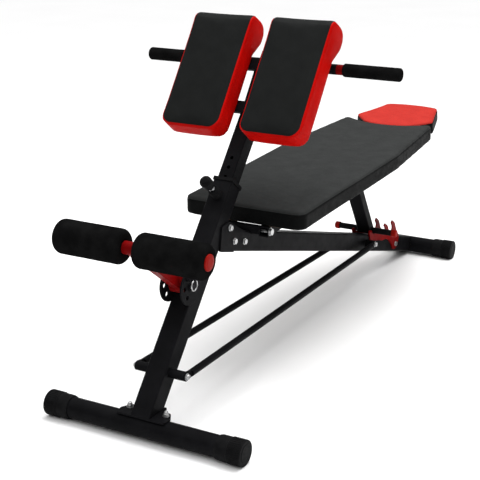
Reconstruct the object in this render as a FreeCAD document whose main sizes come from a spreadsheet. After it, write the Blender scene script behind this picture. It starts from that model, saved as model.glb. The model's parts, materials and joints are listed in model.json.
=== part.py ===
"""Decline sit-up bench: front stand with leaning post, height-adjustable thigh pads, swinging
ankle rollers, and a long back pad on a strut that rests in a hooked rack.

Frame: X across the bench, Y from the front foot to the rear foot, Z up, floor at Z = 0.
The origin is on the floor under the middle of the bench's length.
Millimetres and degrees."""
import FreeCAD
import Part
import Sketcher
import math
import os

Vector = FreeCAD.Vector
Rotation = FreeCAD.Rotation
Placement = FreeCAD.Placement

doc = FreeCAD.newDocument("sit_up_bench")

# ---------------------------------------------------------------- driving dimensions
DIMENSIONS = {
    # floor tubes and their end caps
    "foot_tube": 50, "foot_wall": 2, "cap_dia": 60, "cap_ring": 36, "cap_sleeve": 30,
    "cap_flat": 0.7, "front_half": 261, "rear_half": 168, "rear_foot_y": 1544,
    # leaning post and the inner post that slides in it
    "post_tilt": 39, "post_base_z": 40, "post_side": 50, "post_wall": 2.5, "post_top": 590,
    "inner_side": 40, "inner_wall": 2, "inner_low": 400, "inner_top": 945,
    "hole_first": 477, "hole_pitch": 25, "hole_count": 8, "hole_dia": 9,
    "pin_level": 552, "pin_dia": 8, "bush_gap": 0.3, "bush_depth": 62, "bush_flange": 8,
    # main beam from the post to the rear foot
    "beam_side": 50, "beam_wall": 2.5, "beam_level": 448,
    # ankle rollers
    "arm_pivot_y": 160, "arm_pivot_z": 312, "roller_y": -25.6, "roller_z": 452,
    "sector_radius": 42, "plate_thick": 4, "lock_radius": 26, "lock_pitch": 57.3,
    "lock_angle": 116.5, "lock_hole": 12, "arm_side": 25, "hub_width": 40,
    "roller_tube": 25, "foam_dia": 78, "foam_inner": 18.5, "foam_outer": 187, "foam_round": 12,
    # thigh pads and handlebar
    "pad_tilt": 35.2, "thigh_y": 372.5, "thigh_z": 635.5, "thigh_gap": 49.7, "thigh_wide": 163.2,
    "thigh_low": -8, "thigh_long": 304, "thigh_thick": 48, "thigh_corner": 30, "board_thick": 9,
    "crossbar_side": 30, "crossbar_deep": 12, "crossbar_low": 81, "crossbar_high": 195,
    "bar_level": 922, "bar_dia": 25, "bar_half": 342, "grip_dia": 32, "grip_inner": 200, "grip_outer": 346,
    # back pad, head pad and their rails
    "hinge_y": 450, "hinge_z": 372.5, "back_tilt": 2.6, "back_front_y": 440, "back_front_z": 433.5,
    "back_thick": 39, "back_front_half": 168, "back_half": 172, "back_widest": 580, "back_rear_half": 142,
    "back_long": 932, "rail_wide": 25, "rail_high": 25, "rail_inner": 50, "rail_long": 1100,
    "head_thick": 34, "head_tilt": 4.5, "head_front_y": 1331, "head_front_z": 470,
    # strut, its foot bar and the rack
    "strut_top_y": 1063, "strut_top_z": 401, "strut_foot_y": 1214, "strut_foot_z": 164,
    "strut_wide": 42, "strut_deep": 28, "foot_bar": 12, "sleeve_dia": 18, "sleeve_end": 85,
    "bar_cap": 22, "bar_cap_long": 15,
    # stay rods
    "stay_level": 121, "stay_half": 61.5, "stay_dia": 17, "stay_flat": 5, "stay_rear_y": 1163,
    "stay_rear_half": 47.5, "stay_bar": 22,
    # fasteners and running clearances
    "bolt_dia": 8, "screw_dia": 6, "pivot_dia": 10, "hinge_dia": 10, "running": 0.06, "apart": 0.4,
}
sheet = doc.addObject("Spreadsheet::Sheet", "Sheet")
for row, (alias, value) in enumerate(DIMENSIONS.items(), start=1):
    sheet.set(f"A{row}", alias)
    sheet.set(f"B{row}", str(value))
    sheet.setAlias(f"B{row}", alias)
doc.recompute()


def dim(alias):
    """Value of a sheet cell."""
    return float(sheet.get(alias))


# ---------------------------------------------------------------- frames of reference
CAP_R = dim("cap_dia") / 2
FOOT_Z = CAP_R - dim("cap_flat")
# the bench reaches from the front of the foam rollers to the back of the rear foot caps
MIDDLE_Y = (dim("rear_foot_y") + CAP_R + dim("roller_y") - dim("foam_dia") / 2) / 2
SIDE_VIEW = Rotation(Vector(0, 1, 0), Vector(0, 0, 1), Vector(1, 0, 0), "XYZ")
ALONG_X = Rotation(Vector(0, 1, 0), 90)


def at(x, y, z, rotation=None):
    """Placement at a point measured from the floor under the front foot."""
    return Placement(Vector(x, y - MIDDLE_Y, z), rotation or Rotation())


def tilted(degrees):
    """Rotation that leans the Z axis back towards +Y."""
    return Rotation(Vector(1, 0, 0), -degrees)


POST = tilted(dim("post_tilt"))
PADS = tilted(dim("pad_tilt"))
BACK = Rotation(Vector(1, 0, 0), dim("back_tilt"))
HEAD = Rotation(Vector(1, 0, 0), dim("head_tilt"))


def on_post(level, forward=0, across=0):
    """Point at a level along the post axis, forward of its axis by its normal."""
    p = POST.multVec(Vector(across, -forward, level))
    return Vector(p.x, p.y, p.z + dim("post_base_z"))


def on_pads(along, behind, across=0):
    """Point of the thigh pads: along their face from the lower edge, behind the face."""
    p = PADS.multVec(Vector(across, behind, along))
    return Vector(p.x, p.y + dim("thigh_y"), p.z + dim("thigh_z"))


def on_back(along, below, across=0):
    """Point of the back pad: along its length from the front edge, below its top."""
    p = BACK.multVec(Vector(across, along, -below))
    return Vector(p.x, p.y + dim("back_front_y"), p.z + dim("back_front_z"))


BEAM_FRONT = on_post(dim("beam_level"))
BEAM_REAR = Vector(0, dim("rear_foot_y"), FOOT_Z)
BEAM_RUN = BEAM_REAR - BEAM_FRONT
BEAM_FALL = math.degrees(math.atan2(-BEAM_RUN.z, BEAM_RUN.y))


def on_beam(y, above=0):
    """Point of the beam's centreline at a length position, raised along the beam's normal."""
    z = BEAM_FRONT.z + (y - BEAM_FRONT.y) * BEAM_RUN.z / BEAM_RUN.y
    fall = math.radians(BEAM_FALL)
    return Vector(0, y + above * math.sin(fall), z + above * math.cos(fall))


def placed(point, rotation=None):
    return at(point.x, point.y, point.z, rotation)


# ---------------------------------------------------------------- building blocks
NODES = []


def publish(obj, label, placement=None):
    """Name a finished sub-part and, if asked, put it in its place."""
    if placement is not None:
        obj.Placement = placement
    obj.Label = label
    NODES.append(obj)
    return obj


def bind(obj, **expressions):
    for prop, expression in expressions.items():
        obj.setExpression(prop, expression)


def box(name, length, width, height, offset=Vector()):
    """Box centred on X and Y and standing on Z = 0; sizes are expressions."""
    solid = doc.addObject("Part::Box", name)
    bind(solid, Length=length, Width=width, Height=height)
    doc.recompute()
    solid.Placement.Base = offset - Vector(solid.Length.Value / 2, solid.Width.Value / 2, 0)
    return solid


def cylinder(name, radius, height, placement=None):
    solid = doc.addObject("Part::Cylinder", name)
    bind(solid, Radius=radius, Height=height)
    if placement is not None:
        solid.Placement = placement
    return solid


def rod_x(name, radius, half, y, z, middle=0):
    """Cylinder along X, centred across the bench or about the given X."""
    solid = cylinder(name, radius, f"2 * ({half})")
    doc.recompute()
    solid.Placement = Placement(Vector(middle - solid.Height.Value / 2, y, z), ALONG_X)
    return solid


def cut(name, base, *tools):
    result = doc.addObject("Part::Cut", name)
    result.Base = base
    result.Tool = tools[0] if len(tools) == 1 else fuse(name + "_tools", *tools)
    return result


def fuse(name, *pieces):
    result = doc.addObject("Part::MultiFuse", name)
    result.Shapes = list(pieces)
    return result


def group(name, *pieces):
    """Separate solids kept together in one node."""
    result = doc.addObject("Part::Compound", name)
    result.Links = list(pieces)
    return result


def round_edges(name, base, radius, along):
    """Fillet every straight edge that runs along the given local direction."""
    doc.recompute()
    picked = []
    for number, edge in enumerate(base.Shape.Edges, start=1):
        if edge.Curve.TypeId != "Part::GeomLine":
            continue
        if abs(edge.tangentAt(edge.FirstParameter).dot(along)) > 0.999:
            picked.append((number, radius, radius))
    result = doc.addObject("Part::Fillet", name)
    result.Base = base
    result.Edges = picked
    return result


def square_tube(name, width, depth, length, wall, corner=3):
    """Rectangular tube along local Z, centred on X and Y; sizes are expressions."""
    outside = box(name + "_outside", width, depth, length)
    rounded = round_edges(name + "_rounded", outside, corner, Vector(0, 0, 1))
    inside = box(name + "_bore", f"{width} - 2 * ({wall})", f"{depth} - 2 * ({wall})", f"{length} + 2",
                 Vector(0, 0, -1))
    return cut(name, rounded, inside)


def outline(points):
    """Closed outline from (u, v, radius) corners; a radius above 0 rounds that corner."""
    ends = []
    count = len(points)
    for i, (u, v, radius) in enumerate(points):
        here = Vector(u, v, 0)
        before = (Vector(*points[i - 1][:2], 0) - here).normalize()
        after = (Vector(*points[(i + 1) % count][:2], 0) - here).normalize()
        if radius <= 0:
            ends.append((here, here, None))
            continue
        half = before.getAngle(after) / 2
        reach = radius / math.tan(half)
        bisector = (before + after).normalize()
        centre = here + bisector * (radius / math.sin(half))
        ends.append((here + before * reach, here + after * reach, centre - bisector * radius))
    edges = []
    for i, (start, end, middle) in enumerate(ends):
        if middle is not None:
            edges.append(Part.Arc(start, middle, end))
        following = ends[(i + 1) % count][0]
        if (following - end).Length > 1e-6:
            edges.append(Part.LineSegment(end, following))
    return edges


def tapered_slot(p1, r1, p2, r2):
    """Outline of a link: two round ends joined by their common tangents."""
    a, b = Vector(*p1, 0), Vector(*p2, 0)
    run = b - a
    heading = math.atan2(run.y, run.x)
    swing = math.acos((r1 - r2) / run.Length)

    def rim(centre, radius, angle):
        return centre + Vector(radius * math.cos(angle), radius * math.sin(angle), 0)

    a_up, a_low = rim(a, r1, heading + swing), rim(a, r1, heading - swing)
    b_up, b_low = rim(b, r2, heading + swing), rim(b, r2, heading - swing)
    return [Part.Arc(a_up, rim(a, r1, heading + math.pi), a_low), Part.LineSegment(a_low, b_low),
            Part.Arc(b_low, rim(b, r2, heading), b_up), Part.LineSegment(b_up, a_up)]


def sketched_body(name, role="XY_Plane"):
    body = doc.addObject("PartDesign::Body", name)
    return body, sketch_in(body, name + "_outline", role)


def sketch_in(body, name, role="XY_Plane"):
    sketch = body.newObject("Sketcher::SketchObject", name)
    plane = next(f for f in body.Origin.OriginFeatures if f.Role == role)
    sketch.AttachmentSupport = [(plane, "")]
    sketch.MapMode = "FlatFace"
    return sketch


def circle_in(sketch, u, v, diameter):
    """Circle whose diameter is bound to the sheet."""
    index = sketch.addGeometry(Part.Circle(Vector(u, v, 0), Vector(0, 0, 1), dim_of(diameter) / 2))
    number = sketch.addConstraint(Sketcher.Constraint("Diameter", index, dim_of(diameter)))
    sketch.setExpression(f"Constraints[{number}]", diameter)
    return index


def dim_of(expression):
    """Value of an expression such as 'Sheet.bolt_dia + 1'."""
    probe = doc.addObject("Part::Box", "probe")
    probe.setExpression("Length", expression)
    doc.recompute()
    value = probe.Length.Value
    doc.removeObject(probe.Name)
    return value


def plate(name, edges, thickness, holes=()):
    """Flat plate padded from an outline, centred on its own plane, with round holes."""
    body, sketch = sketched_body(name)
    sketch.addGeometry(edges)
    for u, v, diameter in holes:
        circle_in(sketch, u, v, diameter)
    pad = body.newObject("PartDesign::Pad", name + "_pad")
    pad.Profile = sketch
    pad.Midplane = True
    bind(pad, Length=thickness)
    doc.recompute()
    return body


def turned(name, profile):
    """Body of revolution about local Z from (radius, height) corners in the XZ plane."""
    body, sketch = sketched_body(name, "XZ_Plane")
    sketch.addGeometry(outline(profile))
    revolution = body.newObject("PartDesign::Revolution", name + "_turn")
    revolution.Profile = sketch
    revolution.ReferenceAxis = (sketch, ["V_Axis"])
    revolution.Angle = 360
    doc.recompute()
    return body


def side_plate(name, edges, thickness, x, holes=()):
    """Plate whose outline is drawn in the side view (Y, Z), centred on the given X."""
    body = plate(name, edges, thickness, holes)
    body.Placement = at(x, 0, 0, SIDE_VIEW)
    return body


DOME_HEAD = [(0, 0, 0), (6.6, 0, 0), (6.6, 4.5, 0.8), (5.4, 6, 2), (4.4, 10.5, 3.5), (0, 11, 0)]
SOCKET_HEAD = [(0, 0, 0), (6.8, 0, 0), (6.8, 3, 1), (5.6, 5.2, 1.2), (3, 5.2, 0), (3, 3, 0), (0, 3, 0)]


def bolt(name, y, z, inner, outer, side):
    """Socket-head screw along X; its washer sits on the plane X = outer."""
    shank = cylinder(name + "_shank", "Sheet.bolt_dia / 2", f"{outer - inner}")
    washer = cylinder(name + "_washer", "Sheet.bolt_dia", "1.5")
    washer.Placement = Placement(Vector(0, 0, outer - inner), Rotation())
    head = turned(name + "_head", SOCKET_HEAD)
    head.Placement = Placement(Vector(0, 0, outer - inner + 1.5), Rotation())
    screw = fuse(name, shank, washer, head)
    turn = ALONG_X if side > 0 else Rotation(Vector(0, 1, 0), -90)
    screw.Placement = at(side * inner, y, z, turn)
    return screw


# ---------------------------------------------------------------- floor tubes and end caps
def foot_tube(name, half, y, *holes):
    outside = rod_x(name + "_outside", "Sheet.foot_tube / 2", f"Sheet.{half} - 4", 0, 0)
    inside = rod_x(name + "_inside", "Sheet.foot_tube / 2 - Sheet.foot_wall", f"Sheet.{half}", 0, 0)
    return publish(cut(name, outside, inside, *holes), name, at(0, y, FOOT_Z))


def foot_cap(name, side, half, y):
    """Plastic end cap: smooth sleeve, then a ribbed ring with a closed end and a flat underside."""
    tube_r, sleeve, ring = dim("foot_tube") / 2, dim("cap_sleeve"), dim("cap_ring")
    length = sleeve + ring
    profile = [(tube_r, 0, 0), (tube_r + 2, 0, 0), (tube_r + 3.4, 5, 1), (tube_r + 3.4, sleeve, 0),
               (CAP_R, sleeve + 1.6, 0.6), (CAP_R, length - 1, 3), (CAP_R - 9, length - 1, 0.5),
               (CAP_R - 10, length, 0.5), (0, length, 0), (0, length - 4, 0), (tube_r, length - 4, 0)]
    body = turned(name + "_turned", profile)
    groove = sketch_in(body, name + "_groove")
    groove.AttachmentOffset = Placement(Vector(0, 0, sleeve + 4), Rotation())
    depth, wide = 1.1, 1.5
    corners = [(CAP_R - depth, -wide / 2, 0), (CAP_R + 2, -wide / 2, 0), (CAP_R + 2, wide / 2, 0),
               (CAP_R - depth, wide / 2, 0)]
    groove.addGeometry(outline(corners))
    before = body.Shape.Volume
    pocket = body.newObject("PartDesign::Pocket", name + "_pocket")
    pocket.Profile = groove
    pocket.Reversed = True
    pocket.Length = ring - 8
    doc.recompute()
    assert body.Shape.Volume < before - 20, "the rib groove cuts nothing"
    ribs = body.newObject("PartDesign::PolarPattern", name + "_ribs")
    ribs.Originals = [pocket]
    ribs.Axis = (groove, ["N_Axis"])
    ribs.Occurrences = 36
    body.Tip = ribs
    turn = ALONG_X if side > 0 else Rotation(Vector(0, 1, 0), -90)
    body.Placement = at(side * (dim(half) - length), y, FOOT_Z, turn)
    floor = box(name + "_floor", "900", "100", "20")
    floor.Placement.Base += Vector(0, y - MIDDLE_Y, -20)
    return publish(cut(name, body, floor), name)


STUD_X, STUD_Y = 48, 18
saddle_studs = [cylinder(f"stud_hole_{i}", "Sheet.bolt_dia / 2", "60",
                         Placement(Vector(x, STUD_Y, 0), Rotation()))
                for i, x in enumerate((-STUD_X, STUD_X))]
foot_tube("front_foot_tube", "front_half", 0, *saddle_studs)
foot_tube("rear_foot_tube", "rear_half", dim("rear_foot_y"))
for side, hand in ((-1, "left"), (1, "right")):
    foot_cap(f"foot_cap_front_{hand}", side, "front_half", 0)
    foot_cap(f"foot_cap_rear_{hand}", side, "rear_half", dim("rear_foot_y"))

# saddle plate: flat on the tube's top, with an ear for a bolt each side and a tongue under the post
TUBE_TOP = FOOT_Z + dim("foot_tube") / 2
saddle_side = [(62, -16, 3), (66, 8, 6), (52, 32, 8), (30, 36, 4), (28, 54, 4)]
saddle_plan = saddle_side + [(-x, y, radius) for x, y, radius in reversed(saddle_side)]
saddle_blank = plate("saddle_blank", outline(saddle_plan), "Sheet.plate_thick")
saddle_blank.Placement = at(0, 0, TUBE_TOP + dim("plate_thick") / 2)
saddle_holes = [cylinder(f"saddle_hole_{i}", "Sheet.bolt_dia / 2", "60", at(x, STUD_Y, FOOT_Z))
                for i, x in enumerate((-STUD_X, STUD_X))]
publish(cut("foot_saddle", saddle_blank, *saddle_holes), "foot_saddle")


def upright_nut(name, x, y):
    """Stud with a washer and an acorn nut on the saddle."""
    top = TUBE_TOP + dim("plate_thick")
    stud = cylinder(name + "_stud", "Sheet.bolt_dia / 2", "20", Placement(Vector(0, 0, -20), Rotation()))
    washer = cylinder(name + "_washer", "Sheet.bolt_dia", "1.5")
    nut = turned(name + "_nut", DOME_HEAD)
    nut.Placement.Base = Vector(0, 0, 1.5)
    stack = fuse(name, stud, washer, nut)
    stack.Placement = at(x, y, top)
    return stack


saddle_nuts = [upright_nut("nut_left", -STUD_X, STUD_Y), upright_nut("nut_right", STUD_X, STUD_Y)]
publish(group("saddle_bolts", *saddle_nuts), "saddle_bolts")

# ---------------------------------------------------------------- leaning post
stay_front = on_post(dim("stay_level"))
stay_rear = on_beam(dim("stay_rear_y"))
post_raw = square_tube("post_raw", "Sheet.post_side", "Sheet.post_side", "Sheet.post_top + 40",
                       "Sheet.post_wall", 4)
post_raw.Placement = placed(on_post(-40), POST)
under_post = box("under_post", "200", "300", "200")
under_post.Placement.Base += Vector(0, -MIDDLE_Y, TUBE_TOP + dim("plate_thick") - 200)
stay_hole = rod_x("stay_hole", "Sheet.stay_bar / 2", "40", stay_front.y - MIDDLE_Y, stay_front.z)
KNOB = tilted(dim("post_tilt") - 90)
post_pin_hole = cylinder("post_pin_hole", "Sheet.pin_dia / 2 + 0.3", "40",
                         placed(on_post(dim("pin_level")), KNOB))
publish(cut("lower_post", post_raw, under_post, stay_hole, post_pin_hole), "lower_post")

bush_wide = "Sheet.post_side + 5"
bush_flange = square_tube("bush_flange", bush_wide, bush_wide, "Sheet.bush_flange",
                          f"({bush_wide} - Sheet.inner_side) / 2 - Sheet.bush_gap", 5)
bush_flange.Placement = placed(on_post(dim("post_top")), POST)
post_bore = "Sheet.post_side - 2 * Sheet.post_wall"
bush_sleeve = square_tube("bush_sleeve", post_bore, post_bore, "Sheet.bush_depth",
                          f"({post_bore} - Sheet.inner_side) / 2 - Sheet.bush_gap", 0.5)
bush_sleeve.Placement = placed(on_post(dim("post_top") - dim("bush_depth")), POST)
bush_pin_hole = cylinder("bush_pin_hole", "Sheet.pin_dia / 2 + 0.3", "40",
                         placed(on_post(dim("pin_level")), KNOB))
publish(cut("guide_bush", fuse("bush_joined", bush_flange, bush_sleeve), bush_pin_hole), "guide_bush")

# threaded boss of the height pin: a ribbed sleeve square to the post's front face
boss_low, boss_high, boss_r = dim("post_side") / 2, 51, 13
boss_bore = dim("pin_dia") / 2 + dim("running")
rib_step, rib_count, rib_deep = 4, 6, 1.3
boss_profile = [(boss_bore, boss_low, 0), (boss_r, boss_low, 0)]
for i in range(rib_count):
    level = boss_low + 1 + (i + 0.5) * rib_step
    boss_profile += [(boss_r - rib_deep, level, 0), (boss_r, level + rib_step / 2, 0)]
boss_profile += [(boss_r - 1, boss_high, 0), (boss_bore, boss_high, 0)]
publish(turned("knob_boss", boss_profile), "knob_boss", placed(on_post(dim("pin_level")), KNOB))

# spring pin and its knob, shown drawn clear of the inner post
tip, collar = dim("inner_side") / 2 + dim("apart"), 58.4
pin_r = dim("pin_dia") / 2
pin_profile = [(0, tip, 0), (pin_r - 0.8, tip, 0), (pin_r, tip + 0.8, 0), (pin_r, collar, 0),
               (7.5, collar, 0.6), (7.5, collar + 7.6, 0.6), (pin_r, collar + 7.6, 0),
               (pin_r, collar + 30, 0), (0, collar + 30, 0)]
publish(turned("knob_pin", pin_profile), "knob_pin", placed(on_post(dim("pin_level")), KNOB))
knob_base = collar + 7.6
knob_profile = [(pin_r, knob_base, 0), (9, knob_base, 1), (10, knob_base + 5, 2), (14, knob_base + 9, 4),
                (14.5, knob_base + 30, 6), (9, knob_base + 37, 5), (0, knob_base + 38, 0),
                (0, collar + 30, 0), (pin_r, collar + 30, 0)]
publish(turned("height_knob", knob_profile), "height_knob", placed(on_post(dim("pin_level")), KNOB))

# ---------------------------------------------------------------- inner post, handlebar, thigh pads
inner_raw = square_tube("inner_raw", "Sheet.inner_side", "Sheet.inner_side",
                        "Sheet.inner_top - Sheet.inner_low", "Sheet.inner_wall", 3)
inner_raw.Placement = placed(on_post(dim("inner_low")), POST)
row_of_holes = [cylinder(f"height_hole_{i}", "Sheet.hole_dia / 2", "40",
                         placed(on_post(dim("hole_first") + i * dim("hole_pitch")), KNOB))
                for i in range(int(dim("hole_count")))]
bar_centre = on_post(dim("bar_level"))
bar_hole = rod_x("bar_hole", "Sheet.bar_dia / 2", "40", bar_centre.y - MIDDLE_Y, bar_centre.z)
publish(cut("upper_post", inner_raw, bar_hole, *row_of_holes), "upper_post")

bar_outside = rod_x("bar_outside", "Sheet.bar_dia / 2", "Sheet.bar_half", 0, 0)
bar_inside = rod_x("bar_inside", "Sheet.bar_dia / 2 - 2", "Sheet.bar_half + 1", 0, 0)
publish(cut("handlebar", bar_outside, bar_inside), "handlebar", placed(bar_centre))
grip_r, bar_r = dim("grip_dia") / 2, dim("bar_dia") / 2
grip_long = dim("grip_outer") - dim("grip_inner")
grip_profile = [(bar_r, 0, 0), (grip_r - 1.5, 0, 0), (grip_r, 2.5, 1), (grip_r, grip_long, 5),
                (0, grip_long, 0), (0, grip_long - 4, 0), (bar_r, grip_long - 4, 0)]
for side, hand in ((-1, "left"), (1, "right")):
    turn = ALONG_X if side > 0 else Rotation(Vector(0, 1, 0), -90)
    start = Vector(side * dim("grip_inner"), bar_centre.y, bar_centre.z)
    publish(turned(f"handle_grip_{hand}", grip_profile), f"handle_grip_{hand}", placed(start, turn))

# crossbars behind the thigh pads, welded to the inner post through a wedge-shaped carrier
PAD_BACK = dim("thigh_thick") + dim("board_thick")
THIGH_OUTER = dim("thigh_gap") / 2 + dim("thigh_wide")
crossbars = []
for name in ("crossbar_low", "crossbar_high"):
    tube = square_tube(name + "_tube", "Sheet.crossbar_side", "Sheet.crossbar_deep",
                       "2 * (Sheet.thigh_gap / 2 + Sheet.thigh_wide) - 50", "2", 1.5)
    half = THIGH_OUTER - 25
    start = on_pads(dim(name), PAD_BACK + dim("crossbar_deep") / 2, -half)
    tube.Placement = placed(start, PADS.multiply(ALONG_X))
    crossbars.append(tube)
clear_of_post = box("clear_of_post", "Sheet.inner_side", "Sheet.inner_side", "300")
clear_of_post.Placement = placed(on_post(600), POST).multiply(clear_of_post.Placement)
screw_seats = [(level, x) for level in ("crossbar_low", "crossbar_high") for x in (-150, -60, 60, 150)]
INTO_BOARD = PADS.multiply(Rotation(Vector(1, 0, 0), 90))


def screw_shank(name, level, x):
    """Shank of a pad screw, from the back of a crossbar into the board."""
    seat = on_pads(dim(level), PAD_BACK + dim("crossbar_deep"), x)
    return cylinder(name, "Sheet.screw_dia / 2", "Sheet.crossbar_deep + Sheet.board_thick - 1",
                    placed(seat, INTO_BOARD))


crossbar_holes = [screw_shank("crossbar_hole", level, x) for level, x in screw_seats]
publish(cut("pad_crossbars", group("crossbar_pair", *crossbars), clear_of_post, *crossbar_holes),
        "pad_crossbars")

rear_plane = PAD_BACK + dim("crossbar_deep")
front_face = dim("inner_side") / 2
wedge_low, wedge_high = dim("crossbar_low") + 18, dim("crossbar_high") + 16


def post_face_at(along):
    """Point of the inner post's front face straight behind a level of the pads."""
    seat = on_pads(along, rear_plane)
    reach = (seat - on_post(0, front_face)).dot(POST.multVec(Vector(0, 1, 0)))
    return seat - PADS.multVec(Vector(0, 1, 0)) * (reach / math.cos(math.radians(
        dim("post_tilt") - dim("pad_tilt"))))


carrier_corners = [on_pads(wedge_low, rear_plane), on_pads(wedge_high, rear_plane),
                   post_face_at(wedge_high), post_face_at(wedge_low)]
publish(side_plate("pad_carrier", outline([(p.y, p.z, 0) for p in carrier_corners]), "34", 0), "pad_carrier")


def thigh_side():
    """Side outline of a thigh pad in (along, behind): flat face, thick rolled top at the back."""
    low, long, deep = dim("thigh_low"), dim("thigh_long"), dim("thigh_thick")
    return [(low, 0, 6), (long, 0, 24), (long + 2, 80, 30), (long - 44, 80, 22), (long - 96, deep, 12),
            (low, deep, 14)]


def thigh_front(inset, high):
    """Front outline of a thigh pad in (across, along): the lower corners are well rounded."""
    half, low = dim("thigh_wide") / 2 - inset, dim("thigh_low") + inset
    corner = dim("thigh_corner") - inset
    return [(-half, low, corner), (half, low, corner), (half, high, 0), (-half, high, 0)]


PAD_VIEW = PADS.multiply(Rotation(Vector(0, 0, 1), Vector(0, 1, 0), Vector(-1, 0, 0), "XYZ"))
FACE_VIEW = PADS.multiply(Rotation(Vector(1, 0, 0), 90))
for side, hand in ((-1, "left"), (1, "right")):
    middle = side * (dim("thigh_gap") + dim("thigh_wide")) / 2
    profile = plate(f"thigh_profile_{hand}", outline(thigh_side()), "Sheet.thigh_wide")
    profile.Placement = placed(on_pads(0, 0, middle), PAD_VIEW)
    face = plate(f"thigh_face_{hand}", outline(thigh_front(0, dim("thigh_long") + 20)),
                 "2 * (Sheet.thigh_thick + 60)")
    face.Placement = placed(on_pads(0, 0, middle), FACE_VIEW)
    pad = doc.addObject("Part::MultiCommon", f"thigh_pad_{hand}")
    pad.Shapes = [profile, face]
    publish(pad, f"thigh_pad_{hand}")
    board = plate(f"thigh_board_{hand}_blank", outline(thigh_front(6, dim("thigh_long") - 108)),
                  "Sheet.board_thick")
    board.Placement = placed(on_pads(0, PAD_BACK - dim("board_thick") / 2, middle), FACE_VIEW)
    board_holes = [screw_shank("board_hole", level, x) for level, x in screw_seats if x * side > 0]
    publish(cut(f"thigh_board_{hand}", board, *board_holes), f"thigh_board_{hand}")

screws = []
for level, x in screw_seats:
    head = cylinder("screw_head", "Sheet.screw_dia", "3.5")
    head.Placement = placed(on_pads(dim(level), rear_plane, x), INTO_BOARD).multiply(
        Placement(Vector(0, 0, -3.5), Rotation()))
    screws.append(fuse("screw", screw_shank("screw_shank", level, x), head))
publish(group("thigh_pad_screws", *screws), "thigh_pad_screws")

# ---------------------------------------------------------------- ankle roller arm
PIVOT = Vector(0, dim("arm_pivot_y"), dim("arm_pivot_z"))
ROLLER = Vector(0, dim("roller_y"), dim("roller_z"))
PLATE_X = (dim("post_side") + dim("plate_thick")) / 2


def around_pivot(degrees, radius):
    """Point (y, z) on a circle about the arm pivot."""
    angle = math.radians(degrees)
    return PIVOT.y + radius * math.cos(angle), PIVOT.z + radius * math.sin(angle)


lock_y, lock_z = around_pivot(dim("lock_angle"), dim("lock_radius"))
lock_holes = [(*around_pivot(dim("lock_angle") + step * dim("lock_pitch"), dim("lock_radius")),
               "Sheet.lock_hole") for step in (-1, 0, 1, 2)]
disc = [Part.Circle(Vector(PIVOT.y, PIVOT.z, 0), Vector(0, 0, 1), dim("sector_radius"))]
for side, hand in ((-1, "left"), (1, "right")):
    sector = side_plate(f"sector_plate_{hand}", disc, "Sheet.plate_thick", side * PLATE_X,
                        [(PIVOT.y, PIVOT.z, "Sheet.pivot_dia"), *lock_holes])
    publish(sector, f"sector_plate_{hand}")

plate_outer = dim("post_side") / 2 + dim("plate_thick")


def through_bolt(name, y, z, half, radius="Sheet.bolt_dia / 2"):
    """Bolt across the bench with a washer and a hexagon at each end."""
    parts = [rod_x(name + "_shank", radius, f"{half}", y - MIDDLE_Y, z)]
    for end in (-1, 1):
        washer = rod_x(name + "_washer", f"2 * ({radius})", "0.75", y - MIDDLE_Y, z, end * (half + 0.75))
        head = doc.addObject("Part::Prism", name + "_head")
        head.Polygon = 6
        bind(head, Circumradius=f"1.75 * ({radius})", Height=f"{radius}")
        turn = ALONG_X if end > 0 else Rotation(Vector(0, 1, 0), -90)
        head.Placement = at(end * (half + 1.5), y, z, turn)
        parts += [washer, head]
    return fuse(name, *parts)


spacers = []
for side in (-1, 1):
    middle = side * (dim("post_side") / 2 + dim("hub_width") / 2 + dim("apart")) / 2
    half = (dim("post_side") / 2 - dim("hub_width") / 2 - dim("apart")) / 2
    outside = rod_x("spacer_outside", "9", f"{half}", PIVOT.y - MIDDLE_Y, PIVOT.z, middle)
    bore = rod_x("spacer_bore", "Sheet.pivot_dia / 2", "20", PIVOT.y - MIDDLE_Y, PIVOT.z, middle)
    spacers.append(cut("spacer", outside, bore))
arm_bolt = through_bolt("arm_bolt", PIVOT.y, PIVOT.z, plate_outer, "Sheet.pivot_dia / 2")
publish(group("arm_pivot_bolt", arm_bolt, *spacers), "arm_pivot_bolt")

arm_run = ROLLER - PIVOT
arm_angle = math.degrees(math.atan2(arm_run.z, arm_run.y))
arm_tube = square_tube("arm_tube", "Sheet.arm_side", "Sheet.arm_side", f"{arm_run.Length - 12}", "2", 2)
arm_tube.Placement = placed(PIVOT + arm_run * (12 / arm_run.Length),
                            Rotation(Vector(1, 0, 0), arm_angle - 90))
hub_edges = tapered_slot((PIVOT.y, PIVOT.z), 17, (lock_y, lock_z), 13)
hub = side_plate("arm_hub", hub_edges, "Sheet.hub_width", 0)
sleeve = rod_x("arm_sleeve", "14.5", "17.5", ROLLER.y - MIDDLE_Y, ROLLER.z)
arm_bores = [
    rod_x("arm_pivot_bore", "Sheet.pivot_dia / 2 + Sheet.running", "40", PIVOT.y - MIDDLE_Y, PIVOT.z),
    rod_x("arm_lock_bore", "Sheet.lock_hole / 2 + Sheet.apart", "40", lock_y - MIDDLE_Y, lock_z),
    rod_x("arm_tube_bore", "Sheet.roller_tube / 2", "40", ROLLER.y - MIDDLE_Y, ROLLER.z)]
publish(cut("roller_arm", fuse("arm_joined", arm_tube, hub, sleeve), *arm_bores), "roller_arm")

roller_outside = rod_x("roller_outside", "Sheet.roller_tube / 2", "Sheet.foam_outer + 0.5", 0, 0)
roller_inside = rod_x("roller_inside", "Sheet.roller_tube / 2 - 2", "Sheet.foam_outer + 2", 0, 0)
publish(cut("roller_tube", roller_outside, roller_inside), "roller_tube", placed(ROLLER))

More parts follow.
